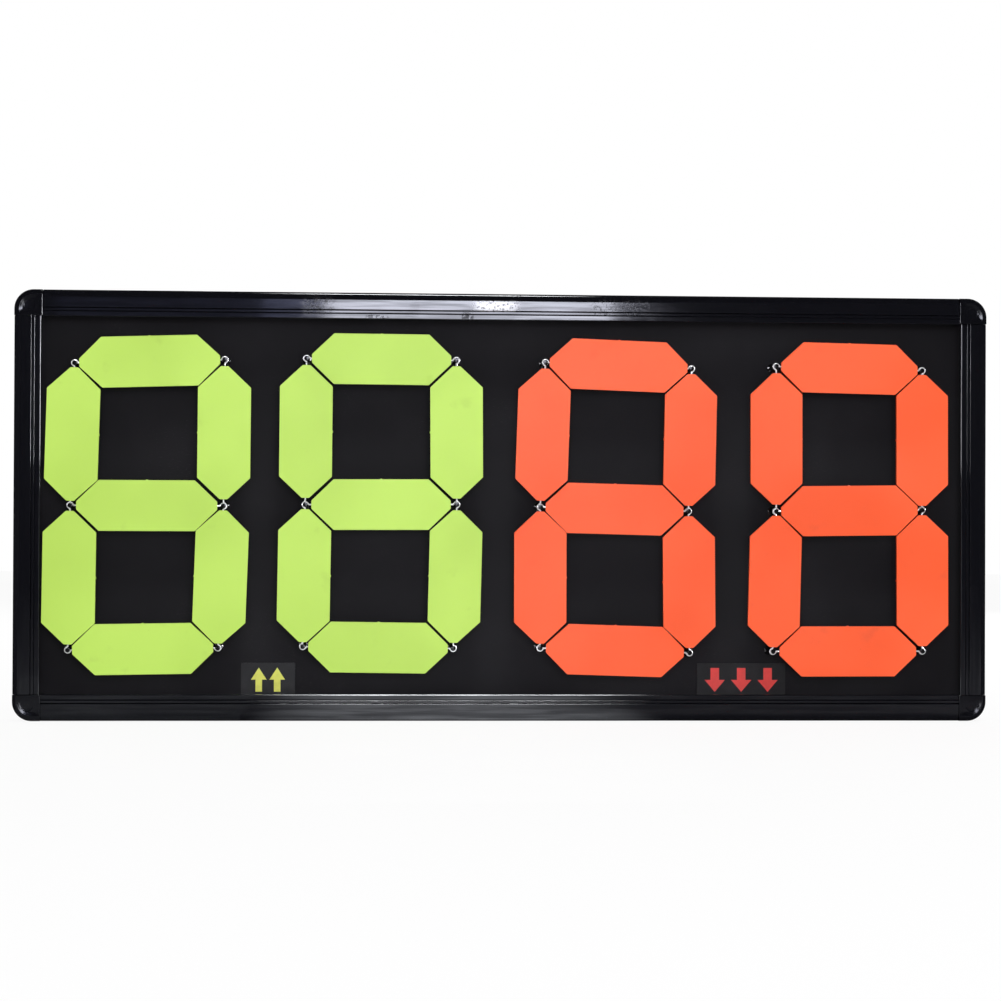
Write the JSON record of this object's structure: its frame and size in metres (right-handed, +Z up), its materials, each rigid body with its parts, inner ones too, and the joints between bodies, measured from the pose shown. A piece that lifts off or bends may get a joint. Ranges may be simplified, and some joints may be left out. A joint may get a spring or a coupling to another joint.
{
  "type": "substitution board",
  "caption": "Hand-held substitution board: ridged black frame round a tray of seven-segment digits whose coloured flaps turn on wires to show or hide.",
  "frame": {"origin": "under the middle of the board, on the surface its bottom edge stands on", "axes": "+X along the board to the right as read, +Y from the face to the back, +Z up"},
  "size_m": [0.778, 0.03, 0.341],
  "materials": {
    "frame_gloss": "gloss black ridged extrusion with light scuffs",
    "cap_gloss": "moulded gloss black",
    "panel_satin": "satin black sheet, scuffed",
    "steel_wire": "bright drawn steel wire",
    "green_flap": "fluorescent yellow-green front, black back",
    "orange_flap": "fluorescent orange-red front, black back",
    "label_film": "clear film over the black panel"
  },
  "bodies": {
    "board": {"bottom_rail": "frame_gloss", "top_rail": "frame_gloss", "left_rail": "frame_gloss", "right_rail": "frame_gloss", "bottom_left_cap": "cap_gloss", "bottom_right_cap": "cap_gloss", "top_left_cap": "cap_gloss", "top_right_cap": "cap_gloss", "panel": "panel_satin", "left_label": "label_film", "right_label": "label_film", "green_tens_loop_wire": "steel_wire", "green_tens_cross_wire": "steel_wire", "green_units_loop_wire": "steel_wire", "green_units_cross_wire": "steel_wire", "orange_tens_loop_wire": "steel_wire", "orange_tens_cross_wire": "steel_wire", "orange_units_loop_wire": "steel_wire", "orange_units_cross_wire": "steel_wire"},
    "green_tens_top": {"green_tens_top_flap": "green_flap"},
    "green_tens_upper_left": {"green_tens_upper_left_flap": "green_flap"},
    "green_tens_upper_right": {"green_tens_upper_right_flap": "green_flap"},
    "green_tens_middle": {"green_tens_middle_flap": "green_flap"},
    "green_tens_lower_left": {"green_tens_lower_left_flap": "green_flap"},
    "green_tens_lower_right": {"green_tens_lower_right_flap": "green_flap"},
    "green_tens_bottom": {"green_tens_bottom_flap": "green_flap"},
    "green_units_top": {"green_units_top_flap": "green_flap"},
    "green_units_upper_left": {"green_units_upper_left_flap": "green_flap"},
    "green_units_upper_right": {"green_units_upper_right_flap": "green_flap"},
    "green_units_middle": {"green_units_middle_flap": "green_flap"},
    "green_units_lower_left": {"green_units_lower_left_flap": "green_flap"},
    "green_units_lower_right": {"green_units_lower_right_flap": "green_flap"},
    "green_units_bottom": {"green_units_bottom_flap": "green_flap"},
    "orange_tens_top": {"orange_tens_top_flap": "orange_flap"},
    "orange_tens_upper_left": {"orange_tens_upper_left_flap": "orange_flap"},
    "orange_tens_upper_right": {"orange_tens_upper_right_flap": "orange_flap"},
    "orange_tens_middle": {"orange_tens_middle_flap": "orange_flap"},
    "orange_tens_lower_left": {"orange_tens_lower_left_flap": "orange_flap"},
    "orange_tens_lower_right": {"orange_tens_lower_right_flap": "orange_flap"},
    "orange_tens_bottom": {"orange_tens_bottom_flap": "orange_flap"},
    "orange_units_top": {"orange_units_top_flap": "orange_flap"},
    "orange_units_upper_left": {"orange_units_upper_left_flap": "orange_flap"},
    "orange_units_upper_right": {"orange_units_upper_right_flap": "orange_flap"},
    "orange_units_middle": {"orange_units_middle_flap": "orange_flap"},
    "orange_units_lower_left": {"orange_units_lower_left_flap": "orange_flap"},
    "orange_units_lower_right": {"orange_units_lower_right_flap": "orange_flap"},
    "orange_units_bottom": {"orange_units_bottom_flap": "orange_flap"}
  },
  "joints": [
    {"name": "green_tens_top_turn", "type": "hinge", "parent": "board", "child": "green_tens_top", "pos_m": [-0.2823, -0.01241, 0.2847], "axis": [0.9995, 0, 0.0305], "continuous": true},
    {"name": "green_tens_upper_left_turn", "type": "hinge", "parent": "board", "child": "green_tens_upper_left", "pos_m": [-0.3428, -0.01241, 0.2267], "axis": [0.0267, 0, 0.9996], "continuous": true},
    {"name": "green_tens_upper_right_turn", "type": "hinge", "parent": "board", "child": "green_tens_upper_right", "pos_m": [-0.2236, -0.01241, 0.2285], "axis": [0.0052, 0, 1], "continuous": true},
    {"name": "green_tens_middle_turn", "type": "hinge", "parent": "board", "child": "green_tens_middle", "pos_m": [-0.2841, -0.01241, 0.1705], "axis": [1, 0, 0], "continuous": true},
    {"name": "green_tens_lower_left_turn", "type": "hinge", "parent": "board", "child": "green_tens_lower_left", "pos_m": [-0.3449, -0.01241, 0.1134], "axis": [0.0105, 0, 0.9999], "continuous": true},
    {"name": "green_tens_lower_right_turn", "type": "hinge", "parent": "board", "child": "green_tens_lower_right", "pos_m": [-0.2258, -0.01241, 0.1143], "axis": [0.0338, 0, 0.9994], "continuous": true},
    {"name": "green_tens_bottom_turn", "type": "hinge", "parent": "board", "child": "green_tens_bottom", "pos_m": [-0.2866, -0.01241, 0.0572], "axis": [0.9999, 0, 0.0153], "continuous": true},
    {"name": "green_units_top_turn", "type": "hinge", "parent": "board", "child": "green_units_top", "pos_m": [-0.0992, -0.01241, 0.2878], "axis": [1, 0, -0.005], "continuous": true},
    {"name": "green_units_upper_left_turn", "type": "hinge", "parent": "board", "child": "green_units_upper_left", "pos_m": [-0.159, -0.01241, 0.23], "axis": [0.0052, 0, 1], "continuous": true},
    {"name": "green_units_upper_right_turn", "type": "hinge", "parent": "board", "child": "green_units_upper_right", "pos_m": [-0.0393, -0.01241, 0.23], "axis": [-0.007, 0, 1], "continuous": true},
    {"name": "green_units_middle_turn", "type": "hinge", "parent": "board", "child": "green_units_middle", "pos_m": [-0.0991, -0.01241, 0.1722], "axis": [1, 0, 0.005], "continuous": true},
    {"name": "green_units_lower_left_turn", "type": "hinge", "parent": "board", "child": "green_units_lower_left", "pos_m": [-0.16, -0.01241, 0.1156], "axis": [0.0124, 0, 0.9999], "continuous": true},
    {"name": "green_units_lower_right_turn", "type": "hinge", "parent": "board", "child": "green_units_lower_right", "pos_m": [-0.0401, -0.01241, 0.1152], "axis": [0.0209, 0, 0.9998], "continuous": true},
    {"name": "green_units_bottom_turn", "type": "hinge", "parent": "board", "child": "green_units_bottom", "pos_m": [-0.101, -0.01241, 0.0586], "axis": [0.9999, 0, -0.0117], "continuous": true},
    {"name": "orange_tens_top_turn", "type": "hinge", "parent": "board", "child": "orange_tens_top", "pos_m": [0.0902, -0.01241, 0.2844], "axis": [0.9994, 0, -0.0358], "continuous": true},
    {"name": "orange_tens_upper_left_turn", "type": "hinge", "parent": "board", "child": "orange_tens_upper_left", "pos_m": [0.0297, -0.01241, 0.2287], "axis": [0.0311, 0, 0.9995], "continuous": true},
    {"name": "orange_tens_upper_right_turn", "type": "hinge", "parent": "board", "child": "orange_tens_upper_right", "pos_m": [0.1479, -0.01241, 0.2252], "axis": [0.0175, 0, 0.9998], "continuous": true},
    {"name": "orange_tens_middle_turn", "type": "hinge", "parent": "board", "child": "orange_tens_middle", "pos_m": [0.0874, -0.01241, 0.1695], "axis": [0.9997, 0, -0.0235], "continuous": true},
    {"name": "orange_tens_lower_left_turn", "type": "hinge", "parent": "board", "child": "orange_tens_lower_left", "pos_m": [0.028, -0.01241, 0.1146], "axis": [-0.0018, 0, 1], "continuous": true},
    {"name": "orange_tens_lower_right_turn", "type": "hinge", "parent": "board", "child": "orange_tens_lower_right", "pos_m": [0.1475, -0.01241, 0.1114], "axis": [-0.0106, 0, 0.9999], "continuous": true},
    {"name": "orange_tens_bottom_turn", "type": "hinge", "parent": "board", "child": "orange_tens_bottom", "pos_m": [0.0881, -0.01241, 0.0565], "axis": [0.9996, 0, -0.03], "continuous": true},
    {"name": "orange_units_top_turn", "type": "hinge", "parent": "board", "child": "orange_units_top", "pos_m": [0.2767, -0.01241, 0.2835], "axis": [0.9998, 0, -0.0203], "continuous": true},
    {"name": "orange_units_upper_left_turn", "type": "hinge", "parent": "board", "child": "orange_units_upper_left", "pos_m": [0.2177, -0.01241, 0.2265], "axis": [-0.0034, 0, 1], "continuous": true},
    {"name": "orange_units_upper_right_turn", "type": "hinge", "parent": "board", "child": "orange_units_upper_right", "pos_m": [0.3361, -0.01241, 0.2261], "axis": [-0.0036, 0, 1], "continuous": true},
    {"name": "orange_units_middle_turn", "type": "hinge", "parent": "board", "child": "orange_units_middle", "pos_m": [0.2771, -0.01241, 0.1691], "axis": [0.9999, 0, 0.0135], "continuous": true},
    {"name": "orange_units_lower_left_turn", "type": "hinge", "parent": "board", "child": "orange_units_lower_left", "pos_m": [0.2167, -0.01241, 0.1121], "axis": [0.0213, 0, 0.9998], "continuous": true},
    {"name": "orange_units_lower_right_turn", "type": "hinge", "parent": "board", "child": "orange_units_lower_right", "pos_m": [0.3366, -0.01241, 0.1131], "axis": [-0.0053, 0, 1], "continuous": true},
    {"name": "orange_units_bottom_turn", "type": "hinge", "parent": "board", "child": "orange_units_bottom", "pos_m": [0.2762, -0.01241, 0.0561], "axis": [1, 0, 0.0033], "continuous": true}
  ]
}
